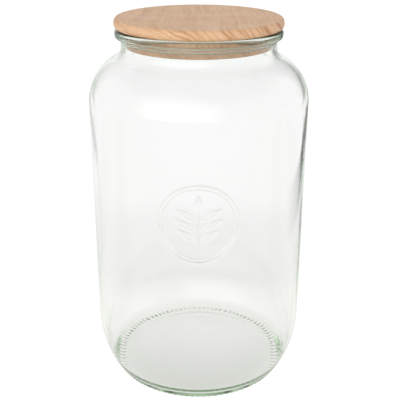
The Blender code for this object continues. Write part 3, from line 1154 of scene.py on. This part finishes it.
def card_finish(name, low, high, shade):
    """Grey with soft edges, there only for light that has passed at most two faces of glass."""
    material, tree, shader, place = new_material(name)
    passed = node_of(tree, "ShaderNodeLightPath").outputs["Transmission Depth"]
    cover = maths(tree, "LESS_THAN", passed, CARD_DEPTH)
    for along, start, end in zip(split(tree, place), low, high):
        fade = CARD_FADE * (end - start)
        if fade > 0.0:
            rise = map_range(tree, along, start, start + fade, smooth=True)
            fall = map_range(tree, along, end, end - fade, smooth=True)
            cover = product(tree, cover, rise, fall)
    grey = (shade, shade, shade, 1.0)
    fill(tree, shader, {"Base Color": grey, "Roughness": 0.9, "Alpha": cover})
    return material


def edge_card(name, low, high, shade):
    """A card beside the picture, flat or upright, that darkens the glass's edge lines."""
    (left, near, bottom), (right, far, top) = low, high
    corners = [(left, near, bottom), (left, far, bottom), (right, far, top), (right, near, top)]
    card = stage_sheet(name, corners, card_finish(name, low, high, shade))
    card.visible_camera = False
    card.visible_shadow = False
    card.visible_diffuse = False


def fitted_camera(studio):
    """The camera that the photograph's outlines were fitted with."""
    data = bpy.data.cameras.new("camera")
    data.lens = studio.lens
    data.sensor_width = 36.0
    data.clip_start = 0.01
    data.clip_end = 50.0
    camera = bpy.data.objects.new("camera", data)
    camera.location = (studio.aside, -studio.distance, studio.eye)
    down = Vector((0.0, math.cos(studio.pitch), -math.sin(studio.pitch)))
    turn = down.to_track_quat("-Z", "Y").to_matrix().to_4x4()
    spin = Matrix.Rotation(studio.roll, 4, "Z")
    camera.rotation_euler = (turn @ spin).to_euler()
    bpy.context.scene.collection.objects.link(camera)
    return camera


# Operators


class JAR_OT_glass(bpy.types.Operator):
    """Make the clear glass body with its relief and its bearing ring"""

    bl_idname = "storage_jar.glass"
    bl_label = "Glass Body"

    def execute(self, context):
        scene = context.scene
        jar = scene.jar_sizes
        ring = scene.jar_bearing_ring
        piece = new_piece("jar_glass", glass_mesh(jar, ring, scene.jar_relief))
        foot_radius = jar.panel_radius - jar.foot_inset
        values = {
            "Bars": ring.bars,
            "Bar Height": ring.height,
            "Root Width": ring.root,
            "Crest Width": ring.crest,
            "Inner Radius": foot_radius - jar.foot_width,
            "Foot Radius": foot_radius,
            "Corner Radius": jar.heel_corner,
            "Climb": ring.climb,
            "Finish": glass_finish(scene.jar_finish),
        }
        shaped(piece, bearing_ring_tree(), values, GLASS_SHARP)
        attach(piece, "jar")
        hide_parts("glass_jar")
        return {"FINISHED"}


class JAR_OT_lid(bpy.types.Operator):
    """Turn the beech lid with its grooved plug"""

    bl_idname = "storage_jar.lid"
    bl_label = "Beech Lid"

    def execute(self, context):
        scene = context.scene
        finish = beech_finish(scene.jar_finish)
        piece = turned_piece("lid_beech", lid_outline(scene.jar_lid), finish)
        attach(piece, "lid")
        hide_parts("beech_lid")
        return {"FINISHED"}


class JAR_OT_seal(bpy.types.Operator):
    """Turn the silicone seal ring"""

    bl_idname = "storage_jar.seal"
    bl_label = "Seal Ring"

    def execute(self, context):
        scene = context.scene
        finish = silicone_finish(scene.jar_finish)
        piece = turned_piece("seal_silicone", seal_outline(scene.jar_seal), finish)
        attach(piece, "seal")
        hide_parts("seal_ring")
        return {"FINISHED"}


class JAR_OT_stage(bpy.types.Operator):
    """Make the floor, the light, the cards and the camera"""

    bl_idname = "storage_jar.stage"
    bl_label = "Stage"

    def execute(self, context):
        scene = context.scene
        studio = scene.jar_studio
        signs = ((-1.0, -1.0), (1.0, -1.0), (1.0, 1.0), (-1.0, 1.0))
        corners = [(x * FLOOR_REACH, y * FLOOR_REACH, FLOOR_LEVEL) for x, y in signs]
        stage_sheet("floor", corners, floor_finish(studio))
        sky_light(studio.sky, studio.front)
        area_light("key", (-0.7, -1.6, 0.9), (0.0, 0.0, 0.2), 1.2, studio.key)
        for card in CARDS:
            edge_card(*card)
        scene.camera = fitted_camera(studio)
        scene.view_settings.view_transform = "Standard"
        scene.cycles.max_bounces = 48
        scene.cycles.transmission_bounces = 32
        scene.cycles.glossy_bounces = 40
        return {"FINISHED"}


class JAR_PT_panel(bpy.types.Panel):
    """Lists the jar's pieces and sizes in the sidebar"""

    bl_idname = "JAR_PT_panel"
    bl_label = "Storage Jar"
    bl_space_type = "VIEW_3D"
    bl_region_type = "UI"
    bl_category = "Storage Jar"

    def draw(self, context):
        for operator in OPERATORS:
            self.layout.operator(operator.bl_idname)
        for name, group in GROUPS.items():
            box = self.layout.box()
            box.label(text=group.__doc__)
            for field in group.__annotations__:
                box.prop(getattr(context.scene, name), field)


OPERATORS = (JAR_OT_glass, JAR_OT_lid, JAR_OT_seal, JAR_OT_stage)


def register():
    """Register the property groups, operators and panel."""
    for name, group in GROUPS.items():
        bpy.utils.register_class(group)
        setattr(bpy.types.Scene, name, PointerProperty(type=group))
    for item in (*OPERATORS, JAR_PT_panel):
        bpy.utils.register_class(item)


def unregister():
    """Undo register."""
    for item in (JAR_PT_panel, *reversed(OPERATORS)):
        bpy.utils.unregister_class(item)
    for name, group in reversed(GROUPS.items()):
        delattr(bpy.types.Scene, name)
        bpy.utils.unregister_class(group)


def main():
    """Make the whole scene."""
    register()
    bpy.ops.storage_jar.glass()
    bpy.ops.storage_jar.lid()
    bpy.ops.storage_jar.seal()
    bpy.ops.storage_jar.stage()


if __name__ == "__main__":
    main()
